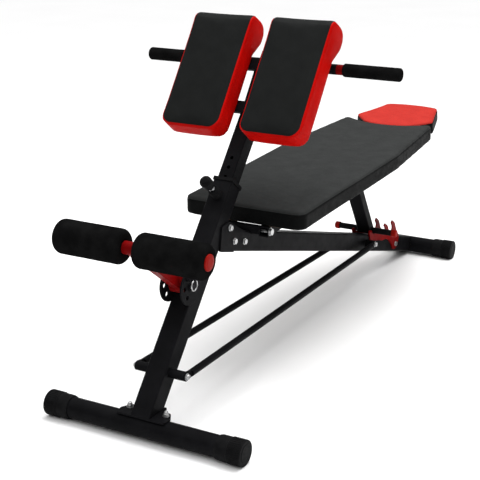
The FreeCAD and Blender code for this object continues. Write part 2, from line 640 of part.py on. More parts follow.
foam_r, foam_bore = dim("foam_dia") / 2, dim("roller_tube") / 2 + dim("running")
foam_long, foam_round = dim("foam_outer") - dim("foam_inner"), dim("foam_round")
foam_profile = [(foam_bore, 0, 0), (foam_r, 0, foam_round), (foam_r, foam_long, foam_round),
                (foam_bore, foam_long, 0)]
plug_r = dim("roller_tube") / 2 - 2
cap_profile = [(0, -12, 0), (plug_r, -12, 0), (plug_r, 0, 0), (18, 0, 0), (18, 3, 2), (10, 4.5, 4),
               (0, 4.5, 0)]
for side, hand in ((-1, "left"), (1, "right")):
    turn = ALONG_X if side > 0 else Rotation(Vector(0, 1, 0), -90)
    foam_start = Vector(side * dim("foam_inner"), ROLLER.y, ROLLER.z)
    publish(turned(f"foam_roller_{hand}", foam_profile), f"foam_roller_{hand}", placed(foam_start, turn))
    cap_start = Vector(side * (dim("foam_outer") + 0.5), ROLLER.y, ROLLER.z)
    publish(turned(f"roller_cap_{hand}", cap_profile), f"roller_cap_{hand}", placed(cap_start, turn))

# pull pin in the right sector plate, shown drawn clear of the arm
pin_tip, pin_travel = dim("hub_width") / 2 + 0.5, 7
shank_r = dim("lock_hole") / 2 - dim("running")
shoulder = plate_outer + dim("apart") + pin_travel
shank_end = shoulder - pin_tip
lock_profile = [(0, 0, 0), (shank_r - 1, 0, 0), (shank_r, 1, 0), (shank_r, shank_end, 0),
                (8, shank_end, 0.5), (8, shank_end + 3, 0.5), (4, shank_end + 3, 0),
                (4, shank_end + 12.5, 1.5), (0, shank_end + 12.5, 0)]
eye_x = shoulder + 8.5
lock_body = turned("lock_body", lock_profile)
lock_body.Placement = at(pin_tip, lock_y, lock_z, ALONG_X)
eye = cylinder("lock_eye", "2.2", "20", at(eye_x, lock_y - 10, lock_z, Rotation(Vector(1, 0, 0), -90)))
publish(cut("lock_pin", lock_body, eye), "lock_pin")
ring = doc.addObject("Part::Torus", "pull_ring")
ring.Radius1, ring.Radius2 = 12, 1.4
publish(ring, "pull_ring", at(eye_x, lock_y, lock_z - 12.3, ALONG_X))

# ---------------------------------------------------------------- stay rods
for label, where, half in (("brace_crossbar_front", stay_front, "stay_half"),
                           ("brace_crossbar_rear", stay_rear, "stay_rear_half")):
    outside = rod_x(label + "_outside", "Sheet.stay_bar / 2", f"Sheet.{half}", 0, 0)
    inside = rod_x(label + "_inside", "Sheet.bolt_dia / 2", f"Sheet.{half} + 1", 0, 0)
    publish(cut(label, outside, inside), label, placed(where))

flat = dim("stay_flat")
brace_bolts = []
for side, hand in ((-1, "left"), (1, "right")):
    front = stay_front + Vector(side * (dim("stay_half") + flat / 2), 0, 0)
    rear = stay_rear + Vector(side * (dim("stay_rear_half") + flat / 2), 0, 0)
    run = rear - front
    rod = cylinder(f"brace_{hand}_bar", "Sheet.stay_dia / 2", f"{run.Length - 44}",
                   placed(front + run * (22 / run.Length), Rotation(Vector(0, 0, 1), run)))
    lugs = []
    for end, toward in ((front, run), (rear, run * -1)):
        neck = end + toward * (30 / run.Length)
        lug_edges = tapered_slot((end.y, end.z), 11, (neck.y, neck.z), 6.5)
        lugs.append(side_plate(f"brace_{hand}_lug", lug_edges, "Sheet.stay_flat", end.x,
                               [(end.y, end.z, "Sheet.bolt_dia")]))
    publish(fuse(f"brace_rod_{hand}", rod, *lugs), f"brace_rod_{hand}")
    brace_bolts += [
        bolt(f"brace_bolt_front_{hand}", front.y, front.z, 40, dim("stay_half") + flat, side),
        bolt(f"brace_bolt_rear_{hand}", rear.y, rear.z, 30, dim("stay_rear_half") + flat, side)]
publish(group("brace_bolts", *brace_bolts), "brace_bolts")

# ---------------------------------------------------------------- main beam, its brackets and the rack
BEAM = Rotation(Vector(1, 0, 0), -BEAM_FALL - 90)
hinge_y, hinge_z = dim("hinge_y"), dim("hinge_z")
bolt_points = [on_beam(356), on_beam(404.7), on_beam(1387)]
post_bolt = on_post(495.6, -dim("post_side") / 2 - 6)
beam_tube = square_tube("beam_tube", "Sheet.beam_side", "Sheet.beam_side", f"{BEAM_RUN.Length - 10}",
                        "Sheet.beam_wall", 4)
beam_tube.Placement = placed(BEAM_FRONT, BEAM)
post_volume = box("post_volume", "Sheet.post_side", "Sheet.post_side", "300")
post_volume.Placement = placed(on_post(300), POST).multiply(post_volume.Placement)
beam_tools = [
    post_volume,
    rod_x("rear_foot_volume", "Sheet.foot_tube / 2", "60", dim("rear_foot_y") - MIDDLE_Y, FOOT_Z),
    rod_x("pivot_volume", "12", "60", hinge_y - MIDDLE_Y, hinge_z),
    rod_x("stay_volume", "Sheet.stay_bar / 2", "60", stay_rear.y - MIDDLE_Y, stay_rear.z)]
beam_tools += [rod_x("beam_bolt_hole", "Sheet.bolt_dia / 2", "60", p.y - MIDDLE_Y, p.z) for p in bolt_points]
publish(cut("main_beam", beam_tube, *beam_tools), "main_beam")

pivot_outside = rod_x("pivot_outside", "12", "Sheet.rail_inner - 0.5", 0, 0)
pivot_bore = rod_x("pivot_bore", "Sheet.hinge_dia / 2 + Sheet.running", "Sheet.rail_inner", 0, 0)
publish(cut("pad_pivot_tube", pivot_outside, pivot_bore), "pad_pivot_tube", at(0, hinge_y, hinge_z))

bracket_corners = [(291, 358, 3), (353, 340.5, 2), (354, 345, 2), (425, 330, 5), (434, 366, 5), (412, 376, 6),
                   (332, 422, 8), (300, 416, 5)]
bracket_holes = [(p.y, p.z, "Sheet.bolt_dia") for p in (*bolt_points[:2], post_bolt)]
# front lip, seat of the foot bar, short stop, then two curved hooks with a seat before each
rack_corners = [
    (1172, 172, 4), (1187, 172, 4), (1203, 154.4, 9), (1224.2, 154.4, 9), (1226, 165, 3), (1234, 165, 3),
    (1248, 148, 8), (1262, 141, 8), (1298, 138, 6), (1302, 148, 8), (1290, 158, 2.5), (1297, 165, 3),
    (1318, 152, 14), (1334, 126, 8), (1352, 123, 7), (1361, 138, 10), (1348, 152, 3), (1356, 160, 3.5),
    (1376, 146, 16), (1393, 117, 12), (1412, 98, 6), (1415, 88, 4), (1402, 62, 6), (1386, 58, 5),
    (1369, 61, 5), (1354, 82, 10), (1333, 101, 12), (1307, 112, 14), (1275, 115, 10), (1244, 125, 8),
    (1184, 137, 5)]
rack_holes = [(p.y, p.z, "Sheet.bolt_dia") for p in bolt_points[2:]]
for side, hand in ((-1, "left"), (1, "right")):
    x = side * PLATE_X
    bracket = side_plate(f"post_bracket_{hand}", outline(bracket_corners), "Sheet.plate_thick", x,
                         bracket_holes)
    publish(bracket, f"post_bracket_{hand}")
    rack = side_plate(f"rack_{hand}", outline(rack_corners), "Sheet.plate_thick", x, rack_holes)
    publish(rack, f"rack_{hand}")
beam_bolts = [through_bolt(f"beam_bolt_{i}", p.y, p.z, plate_outer)
              for i, p in enumerate((*bolt_points, post_bolt))]
publish(group("beam_bolts", *beam_bolts), "beam_bolts")

# ---------------------------------------------------------------- rails and pads of the backrest
UNDER_BOARD = dim("back_thick") + dim("board_thick")
rail_level = UNDER_BOARD + dim("rail_high") / 2
rail_x = dim("rail_inner") + dim("rail_wide") / 2
ALONG_BACK = BACK.multiply(Rotation(Vector(1, 0, 0), -90))
STRUT_TOP = Vector(0, dim("strut_top_y"), dim("strut_top_z"))
for side, hand in ((-1, "left"), (1, "right")):
    rail = square_tube(f"rail_{hand}_tube", "Sheet.rail_wide", "Sheet.rail_high", "Sheet.rail_long", "2", 2)
    rail.Placement = placed(on_back(-4, rail_level, side * rail_x), ALONG_BACK)
    pins = [rod_x("rail_hole", "Sheet.hinge_dia / 2", "90", y - MIDDLE_Y, z)
            for y, z in ((hinge_y, hinge_z), (STRUT_TOP.y, STRUT_TOP.z))]
    publish(cut(f"pad_rail_{hand}", rail, *pins), f"pad_rail_{hand}")

cross_pieces = []
for along in (82, 342, 812, 1072):
    cross = square_tube("rail_cross", "Sheet.rail_high", "Sheet.rail_wide", "2 * Sheet.rail_inner", "2", 2)
    cross.Placement = placed(on_back(along, rail_level, -dim("rail_inner")), BACK.multiply(ALONG_X))
    cross_pieces.append(cross)


def back_outline(inset):
    """Plan of the back pad: widest past the middle, narrower and hollowed at the head end."""
    front, widest, rear = [dim(part) - inset for part in ("back_front_half", "back_half", "back_rear_half")]
    middle, end = dim("back_widest"), dim("back_long") - inset
    return [(-front, inset, 25), (front, inset, 25), (widest, middle, 160), (rear, end, 12),
            (0, end - 103, 214), (-rear, end, 12), (-widest, middle, 160)]


def head_outline(inset):
    """Plan of the head pad: both ends bulge, and the sides taper to the rear."""
    side = [(62, inset, 70), (127 - inset, 78, 12), (86 - inset, 229 - inset, 14)]
    return side + [(0, 251 - inset, 300)] + [(-x, y, radius) for x, y, radius in reversed(side)]


def on_head(below):
    p = HEAD.multVec(Vector(0, 0, -below))
    return Vector(0, p.y + dim("head_front_y"), p.z + dim("head_front_z"))


def cushion(label, corners, thickness, centre, rotation):
    publish(plate(label, outline(corners), thickness), label, placed(centre, rotation))


half_board = dim("board_thick") / 2
cushion("back_pad", back_outline(0), "Sheet.back_thick", on_back(0, dim("back_thick") / 2), BACK)
cushion("back_board", back_outline(8), "Sheet.board_thick", on_back(0, dim("back_thick") + half_board), BACK)
cushion("head_pad", head_outline(0), "Sheet.head_thick", on_head(dim("head_thick") / 2), HEAD)
cushion("head_board", head_outline(8), "Sheet.board_thick", on_head(dim("head_thick") + half_board), HEAD)

# wedges between the rails and the head board
head_under = dim("head_thick") + dim("board_thick")
head_front = Vector(0, dim("head_front_y"), dim("head_front_z"))
wedge_top = [head_front + HEAD.multVec(Vector(0, along, -head_under)) for along in (60, 205)]


def down_to_rail(point):
    """Foot of a point on the rails' upper face."""
    offset = BACK.inverted().multVec(point - on_back(0, 0))
    return on_back(offset.y, UNDER_BOARD)


wedge_corners = [*wedge_top, down_to_rail(wedge_top[1]), down_to_rail(wedge_top[0])]
for side in (-1, 1):
    cross_pieces.append(side_plate("head_wedge", outline([(p.y, p.z, 0) for p in wedge_corners]),
                                   "Sheet.rail_wide - 3", side * rail_x))
publish(group("rail_crossbars", *cross_pieces), "rail_crossbars")

rail_outer = dim("rail_inner") + dim("rail_wide")
hinge_r = "Sheet.hinge_dia / 2"
publish(through_bolt("pad_pivot_bolt", hinge_y, hinge_z, rail_outer, hinge_r), "pad_pivot_bolt")
strut_pin = through_bolt("strut_pin", STRUT_TOP.y, STRUT_TOP.z, rail_outer, hinge_r)
strut_side = dim("strut_wide") / 2
collars = []
for side in (-1, 1):
    middle = side * (strut_side + 0.5 + dim("rail_inner")) / 2
    half = (dim("rail_inner") - strut_side - 0.5) / 2
    collars.append(rod_x("strut_collar", "9", f"{half}", STRUT_TOP.y - MIDDLE_Y, STRUT_TOP.z, middle))
publish(fuse("strut_pivot_pin", strut_pin, *collars), "strut_pivot_pin")

# ---------------------------------------------------------------- strut and its foot bar
STRUT_FOOT = Vector(0, dim("strut_foot_y"), dim("strut_foot_z"))
strut_run = STRUT_FOOT - STRUT_TOP
strut_angle = math.degrees(math.atan2(strut_run.z, strut_run.y))
strut_tube = square_tube("strut_tube", "Sheet.strut_wide", "Sheet.strut_deep", f"{strut_run.Length + 20}",
                         "2.5", 3)
strut_tube.Placement = placed(STRUT_TOP + strut_run * (5 / strut_run.Length),
                              Rotation(Vector(1, 0, 0), strut_angle - 90))
strut_hub = rod_x("strut_hub", "11.5", "Sheet.strut_wide / 2", STRUT_TOP.y - MIDDLE_Y, STRUT_TOP.z)
near_beam = box("near_beam", "100", "300", "100", Vector(0, 0, -100))
near_beam.Placement = placed(on_beam(dim("strut_foot_y"), dim("beam_side") / 2 + 2.5),
                             Rotation(Vector(1, 0, 0), -BEAM_FALL)).multiply(near_beam.Placement)
strut_tools = [
    near_beam,
    rod_x("strut_hub_bore", f"{hinge_r} + Sheet.running", "40", STRUT_TOP.y - MIDDLE_Y, STRUT_TOP.z),
    rod_x("strut_bar_bore", "Sheet.foot_bar / 2", "40", STRUT_FOOT.y - MIDDLE_Y, STRUT_FOOT.z)]
publish(cut("support_strut", fuse("strut_joined", strut_tube, strut_hub), *strut_tools), "support_strut")

cap_from = dim("sleeve_end") + 0.5
strut_bar = rod_x("strut_bar", "Sheet.foot_bar / 2", f"{cap_from} + Sheet.bar_cap_long - 3.5", 0, 0)
publish(strut_bar, "strut_bar", placed(STRUT_FOOT).multiply(strut_bar.Placement))
bar_sleeves, bar_caps = [], []
bar_r, end_r, end_long = dim("foot_bar") / 2, dim("bar_cap") / 2, dim("bar_cap_long")
end_profile = [(bar_r, 0, 0), (end_r, 0, 1), (end_r, end_long, 3.5), (0, end_long, 0),
               (0, end_long - 3.5, 0), (bar_r, end_long - 3.5, 0)]
sleeve_from = strut_side + 0.5
for side in (-1, 1):
    middle = side * (sleeve_from + dim("sleeve_end")) / 2
    half = (dim("sleeve_end") - sleeve_from) / 2
    outside = rod_x("bar_sleeve_outside", "Sheet.sleeve_dia / 2", f"{half}", STRUT_FOOT.y - MIDDLE_Y,
                    STRUT_FOOT.z, middle)
    bore = rod_x("bar_sleeve_bore", "Sheet.foot_bar / 2", "60", STRUT_FOOT.y - MIDDLE_Y, STRUT_FOOT.z,
                 middle)
    bar_sleeves.append(cut("bar_sleeve", outside, bore))
    cap = turned("bar_cap", end_profile)
    turn = ALONG_X if side > 0 else Rotation(Vector(0, 1, 0), -90)
    cap.Placement = placed(Vector(side * cap_from, STRUT_FOOT.y, STRUT_FOOT.z), turn)
    bar_caps.append(cap)
publish(group("bar_sleeves", *bar_sleeves), "bar_sleeves")
publish(group("bar_caps", *bar_caps), "bar_caps")

# ---------------------------------------------------------------- checks and export
doc.recompute()
faults = [f"{obj.Label}: {obj.State}" for obj in doc.Objects if {"Invalid", "Error"} & set(obj.State)]
for obj in NODES:
    shape = obj.Shape
    if shape.isNull() or not shape.isValid() or not shape.Solids:
        faults.append(f"{obj.Label}: bad shape")
assert not faults, faults
os.makedirs("parts", exist_ok=True)
for obj in NODES:
    obj.Shape.exportStep(f"parts/{obj.Label}.step")
print(len(NODES), "sub-parts written")
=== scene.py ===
"""Looks of the decline sit-up bench: upholstery, foam, paint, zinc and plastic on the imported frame."""

import json
import math

import bmesh
import bpy
import numpy
from mathutils import Matrix, Vector, noise


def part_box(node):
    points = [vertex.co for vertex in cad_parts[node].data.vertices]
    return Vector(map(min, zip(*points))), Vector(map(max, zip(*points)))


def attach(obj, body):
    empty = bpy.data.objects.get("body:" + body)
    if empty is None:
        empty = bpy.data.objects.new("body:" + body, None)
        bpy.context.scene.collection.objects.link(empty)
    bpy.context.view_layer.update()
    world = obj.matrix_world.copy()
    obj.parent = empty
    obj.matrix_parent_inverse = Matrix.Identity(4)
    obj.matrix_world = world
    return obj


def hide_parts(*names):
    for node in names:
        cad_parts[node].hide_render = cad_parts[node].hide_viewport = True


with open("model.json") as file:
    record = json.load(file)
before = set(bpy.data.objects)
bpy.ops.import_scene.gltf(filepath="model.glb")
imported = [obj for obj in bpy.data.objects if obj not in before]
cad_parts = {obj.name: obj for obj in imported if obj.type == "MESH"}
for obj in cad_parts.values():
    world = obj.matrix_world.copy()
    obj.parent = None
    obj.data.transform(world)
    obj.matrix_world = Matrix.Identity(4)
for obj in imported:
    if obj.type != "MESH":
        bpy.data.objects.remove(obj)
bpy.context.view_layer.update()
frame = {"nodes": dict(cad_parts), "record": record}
nodes = frame["nodes"]

MM = 0.001
MIDDLE_Y = 0.7547          # metres from the front foot's axis to the middle of the bench
SCENE = bpy.context.scene

# ---------------------------------------------------------------- materials
MIX_A, MIX_B, MIX_RESULT = 6, 7, 2      # colour sockets of a Mix node
BEVEL_SAMPLES = 4
WEAR_RADIUS = 1.2 * MM

# darker and lighter tone of each surface
FRAME_BLACK = ((0.0050, 0.0050, 0.0056, 1), (0.0075, 0.0075, 0.0085, 1))
PAINT_RED = ((0.15, 0.0020, 0.0024, 1), (0.20, 0.0028, 0.0030, 1))
ZINC = ((0.28, 0.285, 0.30, 1), (0.60, 0.60, 0.59, 1))
OXIDE_BLACK = ((0.010, 0.010, 0.011, 1), (0.018, 0.018, 0.020, 1))
PLASTIC_BLACK = ((0.005, 0.005, 0.0054, 1), (0.008, 0.008, 0.0085, 1))
PLASTIC_RED = ((0.24, 0.006, 0.004, 1), (0.28, 0.009, 0.006, 1))
FOAM_BLACK = ((0.0045, 0.0045, 0.0046, 1), (0.0075, 0.0075, 0.0076, 1))
PLYWOOD = ((0.10, 0.062, 0.034, 1), (0.19, 0.125, 0.072, 1))
COVER_BLACK = ((0.0102, 0.0109, 0.0107, 1), (0.0126, 0.0134, 0.0132, 1))
# the black vinyl made lighter for the back pad's top: painted light
LIT_BACK_BLACK = ((0.0285, 0.0298, 0.0295, 1), (0.0335, 0.0350, 0.0346, 1))
# the black vinyl made darker for the sides of the back and head pads: painted shade
SHADED_SIDE_BLACK = ((0.0040, 0.0042, 0.0042, 1), (0.0052, 0.0055, 0.0055, 1))
COVER_RED = ((0.46, 0.0022, 0.0010, 1), (0.54, 0.0032, 0.0016, 1))
# the red vinyl lightened toward pink on the head pad's top: a painted sheen
HEAD_RED_SHEEN = ((0.42, 0.026, 0.020, 1), (0.47, 0.032, 0.024, 1))
PAPER = ((0.93, 0.93, 0.93, 1), (0.95, 0.95, 0.95, 1))

WORN_BLACK = (0.06, 0.06, 0.065, 1)
WORN_RED = (0.22, 0.06, 0.05, 1)
# painted shade, darkening the foam pores and the creases of the vinyl
CREVICE_SHADE = (0.001, 0.001, 0.001, 1)      # foam pores and the creases of the vinyl
RED_BAND = 184 * MM                     # the handlebar is red further out than this


class Shader:
    """A Principled material whose colour, roughness and relief come from procedural nodes."""

    def __init__(self, name, **sockets):
        self.material = bpy.data.materials.new(name)
        self.material.use_nodes = True
        self.tree = self.material.node_tree
        self.bsdf = self.tree.nodes["Principled BSDF"]
        self.point = self.add("ShaderNodeTexCoord").outputs["Object"]
        for socket, value in sockets.items():
            self.bsdf.inputs[socket.replace("_", " ")].default_value = value

    def add(self, kind, **inputs):
        node = self.tree.nodes.new(kind)
        for socket, value in inputs.items():
            self.set(node.inputs[socket.replace("_", " ")], value)
        return node

    def set(self, socket, value):
        if isinstance(value, bpy.types.NodeSocket):
            self.tree.links.new(value, socket)
        else:
            socket.default_value = value

    def noise(self, size, detail, rough=0.55, stretch=(1, 1, 1)):
        """Noise whose features are about that many metres across."""
        mapping = self.add("ShaderNodeMapping", Vector=self.point, Scale=stretch)
        node = self.add("ShaderNodeTexNoise", Vector=mapping.outputs["Vector"], Scale=1 / size,
                        Detail=detail, Roughness=rough)
        return node.outputs["Fac"]

    def cells(self, size, feature="DISTANCE_TO_EDGE"):
        """Cells about that many metres across: the distance to their edges, or to their middles for F1."""
        node = self.add("ShaderNodeTexVoronoi", Vector=self.point, Scale=1 / size)
        node.feature = feature
        return node.outputs["Distance"]

    def remap(self, value, low, high, to_low=0.0, to_high=1.0):
        node = self.add("ShaderNodeMapRange", Value=value, From_Min=low, From_Max=high, To_Min=to_low,
                        To_Max=to_high)
        return node.outputs["Result"]

    def clouds(self, size, detail):
        """Soft patches, from 0 to 1, that mix the two tones of a surface."""
        return self.remap(self.noise(size, detail), 0.35, 0.65)

    def rubbed(self, size, detail, low, high):
        """Roughness that wanders between two values."""
        return self.remap(self.noise(size, detail), 0.3, 0.7, low, high)

    def mix(self, factor, a, b):
        node = self.add("ShaderNodeMix")
        node.data_type = "RGBA"
        self.set(node.inputs["Factor"], factor)
        self.set(node.inputs[MIX_A], a)
        self.set(node.inputs[MIX_B], b)
        return node.outputs[MIX_RESULT]

    def math(self, operation, a, b=0.0):
        node = self.tree.nodes.new("ShaderNodeMath")
        node.operation = operation
        self.set(node.inputs[0], a)
        self.set(node.inputs[1], b)
        return node.outputs[0]

    def softened(self, radius):
        """The surface normal, with corners rounded to a radius in metres."""
        bevel = self.add("ShaderNodeBevel", Radius=radius)
        bevel.samples = BEVEL_SAMPLES
        return bevel.outputs["Normal"]

    def edge_wear(self):
        """0 on flat faces, rising to 1 along corners."""
        dot = self.tree.nodes.new("ShaderNodeVectorMath")
        dot.operation = "DOT_PRODUCT"
        self.set(dot.inputs[0], self.softened(WEAR_RADIUS))
        self.set(dot.inputs[1], self.add("ShaderNodeNewGeometry").outputs["Normal"])
        return self.remap(dot.outputs["Value"], 0.99, 0.8)

    def relief(self, *layers, soften=0.0):
        """Stacked bumps: (height, depth in metres, strength); soften rounds crisp corners."""
        normal = self.softened(soften) if soften else None
        for height, depth, strength in layers:
            bump = self.add("ShaderNodeBump", Height=height, Distance=depth, Strength=strength)
            if normal is not None:
                self.set(bump.inputs["Normal"], normal)
            normal = bump.outputs["Normal"]
        self.set(self.bsdf.inputs["Normal"], normal)

    def finish(self, colour, roughness):
        self.set(self.bsdf.inputs["Base Color"], colour)
        self.set(self.bsdf.inputs["Roughness"], roughness)
        return self.material


def powder_coat(name, tones, worn, rough=(0.34, 0.5), outer=None):
    """Baked powder paint: orange-peel skin, faint cloudiness, rubbed corners.

    outer is (distance from the middle, tones) of a second paint further out across the bench."""
    s = Shader(name, Specular_IOR_Level=0.02)
    clouds = s.clouds(60 * MM, 3)
    paint = s.mix(clouds, *tones)
    if outer:
        start, outer_tones = outer
        across = s.add("ShaderNodeSeparateXYZ", Vector=s.point).outputs["X"]
        past = s.remap(s.math("ABSOLUTE", across), start, start + 0.3 * MM)
        paint = s.mix(past, paint, s.mix(clouds, *outer_tones))
    scuff = s.math("MULTIPLY", s.edge_wear(), s.remap(s.noise(9 * MM, 5), 0.45, 0.62))
    colour = s.mix(s.math("MULTIPLY", scuff, 0.35), paint, worn)
    s.relief((s.noise(1.4 * MM, 2), 0.05 * MM, 0.55), (s.noise(0.35 * MM, 2), 0.02 * MM, 0.4),
             soften=0.9 * MM)
    return s.finish(colour, s.rubbed(25 * MM, 6, *rough))


def zinc_plate(name):
    """Bright zinc: fine drawn lines, mottled passivation."""
    s = Shader(name, Metallic=1.0)
    mottle = s.remap(s.noise(5 * MM, 5), 0.3, 0.7)
    s.relief((s.noise(0.5 * MM, 3, stretch=(1, 6, 6)), 0.03 * MM, 0.4), soften=0.5 * MM)
    return s.finish(s.mix(mottle, *ZINC), s.rubbed(2.5 * MM, 6, 0.2, 0.42))


def moulded(name, tones, rough, peel=0.6):
    """Moulded plastic, or blackened steel; peel is the strength of its fine texture."""
    s = Shader(name, Specular_IOR_Level=0.03)
    s.relief((s.noise(0.5 * MM, 3), 0.05 * MM, peel), soften=0.7 * MM)
    return s.finish(s.mix(s.clouds(18 * MM, 4), *tones), s.rubbed(6 * MM, 5, *rough))


def foam_skin(name):
    """Closed-cell foam: fine open pores in a dull skin with soft dents."""
    s = Shader(name, Specular_IOR_Level=0.0)
    pores = s.remap(s.cells(0.9 * MM, "F1"), 0.0, 0.5)
    skin = s.mix(s.clouds(30 * MM, 4), *FOAM_BLACK)
    # the pores are darkened with painted shade
    colour = s.mix(s.math("MULTIPLY", s.math("SUBTRACT", 1.0, pores), 0.5), skin, CREVICE_SHADE)
    s.relief((pores, 0.12 * MM, 0.5), (s.noise(7 * MM, 3), 0.5 * MM, 0.35))
    return s.finish(colour, s.rubbed(12 * MM, 4, 0.72, 0.92))


def plywood(name):
    """Stained plywood seen on the pads' undersides."""
    s = Shader(name, Specular_IOR_Level=0.3)
    figure = s.noise(14 * MM, 8, 0.65, stretch=(4, 0.35, 4))
    s.relief((s.noise(2 * MM, 6, 0.7, stretch=(5, 0.3, 5)), 0.15 * MM, 0.5))
    return s.finish(s.mix(s.remap(figure, 0.35, 0.65), *PLYWOOD), s.remap(figure, 0.3, 0.7, 0.55, 0.8))


def vinyl(name, inside, beyond):
    """Grained vinyl: pebbles parted by creases, over a slow unevenness of the stuffing.

    inside and beyond are the tones on either side of the seam attribute's zero."""
    s = Shader(name, Specular_IOR_Level=0.025)
    pebbles = s.remap(s.cells(1.1 * MM), 0.0, 0.22)
    s.relief((s.noise(45 * MM, 2), 0.5 * MM, 0.15), (pebbles, 0.08 * MM, 0.5),
             (s.noise(0.4 * MM, 3), 0.03 * MM, 0.35))
    seam = s.add("ShaderNodeAttribute")
    seam.attribute_name = "seam"
    past_seam = s.remap(seam.outputs["Fac"], -0.2 * MM, 0.2 * MM)
    clouds = s.clouds(45 * MM, 4)
    panel = s.mix(past_seam, s.mix(clouds, *inside), s.mix(clouds, *beyond))
    # the creases between the pebbles are darkened with painted shade
    creases = s.math("MULTIPLY", s.math("SUBTRACT", 1.0, pebbles), 0.3)
    return s.finish(s.mix(creases, panel, CREVICE_SHADE), s.rubbed(20 * MM, 5, 0.42, 0.58))


LOOKS = {
    "black_frame": powder_coat("frame_black", FRAME_BLACK, WORN_BLACK),
    "red_paint": powder_coat("paint_red", PAINT_RED, WORN_RED, rough=(0.3, 0.42)),
    "zinc": zinc_plate("zinc_bright"),
    "black_steel": moulded("steel_black_oxide", OXIDE_BLACK, rough=(0.3, 0.45), peel=0.2),
    "black_plastic": moulded("plastic_black", PLASTIC_BLACK, rough=(0.45, 0.62)),
    "red_plastic": moulded("plastic_red", PLASTIC_RED, rough=(0.3, 0.42), peel=0.1),
    "board": plywood("plywood_stained"),
}
BAR_PAINT = powder_coat("bar_black_red", FRAME_BLACK, WORN_BLACK, outer=(RED_BAND, PAINT_RED))
FOAM = foam_skin("foam_black")
THIGH_COVER = vinyl("cover_thigh", COVER_BLACK, COVER_RED)
# the back pad's cover: painted light on its top, painted shade on its sides past the seam
BACK_COVER = vinyl("cover_back", LIT_BACK_BLACK, SHADED_SIDE_BLACK)
# the head pad's cover: a painted sheen on its red top; its black sides are darkened with painted shade
HEAD_COVER = vinyl("cover_head", HEAD_RED_SHEEN, SHADED_SIDE_BLACK)

slots = {entry["node"]: entry["material_slot"] for entry in frame["record"]["subparts"]}
for name, node in nodes.items():
    look = BAR_PAINT if name == "handlebar" else LOOKS.get(slots[name])
    if look:
        node.data.materials.clear()
        node.data.materials.append(look)

# ---------------------------------------------------------------- outlines and solids
OUTLINE_STEP = 6.0         # millimetres between the points of a curve


def rounded(corners):
    """Points along a closed outline whose corners (x, y, radius) are rounded; millimetres."""
    points = []
    count = len(corners)
    for i, (x, y, radius) in enumerate(corners):
        here = Vector((x, y))
        before = (Vector(corners[i - 1][:2]) - here).normalized()
        after = (Vector(corners[(i + 1) % count][:2]) - here).normalized()
        half = before.angle(after) / 2
        reach = radius / math.tan(half)
        bisector = (before + after).normalized()
        centre = here + bisector * (radius / math.sin(half))
        start, end = here + before * reach, here + after * reach
        a, b = start - centre, end - centre
        sweep = a.angle_signed(b)
        steps = max(3, int(abs(sweep) * radius / OUTLINE_STEP) + 1)
        for k in range(steps + 1):
            turn = Matrix.Rotation(-sweep * k / steps, 2)
            points.append(centre + turn @ a)
    return points


def resampled(points):
    """Outline with extra points, so that its straight sides are divided too."""
    dense = []
    for i, p in enumerate(points):
        following = points[(i + 1) % len(points)]
        pieces = max(1, math.ceil((following - p).length / OUTLINE_STEP))
        dense += [p.lerp(following, k / pieces) for k in range(pieces)]
    return dense


def inset(points, amount):
    """Outline moved inwards along its own normals (counter-clockwise points)."""
    moved = []
    count = len(points)
    for i, p in enumerate(points):
        ahead = (points[(i + 1) % count] - p).normalized()
        behind = (p - points[i - 1]).normalized()
        along = (ahead + behind).normalized()
        moved.append(p + Vector((-along.y, along.x)) * amount)
    return moved


def linked(name, data):
    """New object in the scene."""
    obj = bpy.data.objects.new(name, data)
    SCENE.collection.objects.link(obj)
    return obj


def solid_from(name, mesh):
    """New object from a bmesh, which is freed."""
    data = bpy.data.meshes.new(name)
    mesh.to_mesh(data)
    mesh.free()
    return linked(name, data)


def lofted(name, outline, layers):
    """Closed solid through (inset, height) layers of one outline, capped at both ends; in millimetres."""
    mesh = bmesh.new()
    rings = [[mesh.verts.new((p.x * MM, p.y * MM, height * MM)) for p in inset(outline, amount)]
             for amount, height in layers]
    for low, high in zip(rings, rings[1:]):
        for i in range(len(low)):
            j = (i + 1) % len(low)
            mesh.faces.new((low[i], low[j], high[j], high[i]))
    mesh.faces.new(list(reversed(rings[0])))
    mesh.faces.new(rings[-1])
    return solid_from(name, mesh)


# ---------------------------------------------------------------- upholstery
CLOTH_FRAMES = 20
PRESSURE = 4
SWELL_CAP = 2.2            # millimetres a point may move, at most
SWELL_ROUNDS = 24          # how often the swelling is averaged
FLAT_HELD = 4              # the lowest millimetres of a flat cushion, held at its board


def apply_modifiers(obj):
    """Replace an object's mesh by what its modifiers make of it."""
    done = bpy.data.meshes.new_from_object(obj.evaluated_get(bpy.context.evaluated_depsgraph_get()))
    obj.modifiers.clear()
    obj.data = done


def evened(mesh, moves):
    """Per-vertex moves averaged with their neighbours', so that a cover swells without lumps."""
    ends = numpy.empty(len(mesh.edges) * 2, dtype=int)
    mesh.edges.foreach_get("vertices", ends)
    first, second = ends.reshape(-1, 2).T
    weight = 1 + numpy.bincount(first, minlength=len(moves)) + numpy.bincount(second, minlength=len(moves))
    for _ in range(SWELL_ROUNDS):
        total = moves.copy()
        numpy.add.at(total, first, moves[second])
        numpy.add.at(total, second, moves[first])
        moves = total / weight[:, None]
    return moves


def places_of(mesh):
    places = numpy.empty(len(mesh.vertices) * 3)
    mesh.vertices.foreach_get("co", places)
    return places.reshape(-1, 3)


def voxelled(obj, size):
    """Rebuild an object's mesh evenly, with faces about that many millimetres across."""
    remesh = obj.modifiers.new("voxels", "REMESH")
    remesh.mode, remesh.voxel_size = "VOXEL", size * MM
    apply_modifiers(obj)


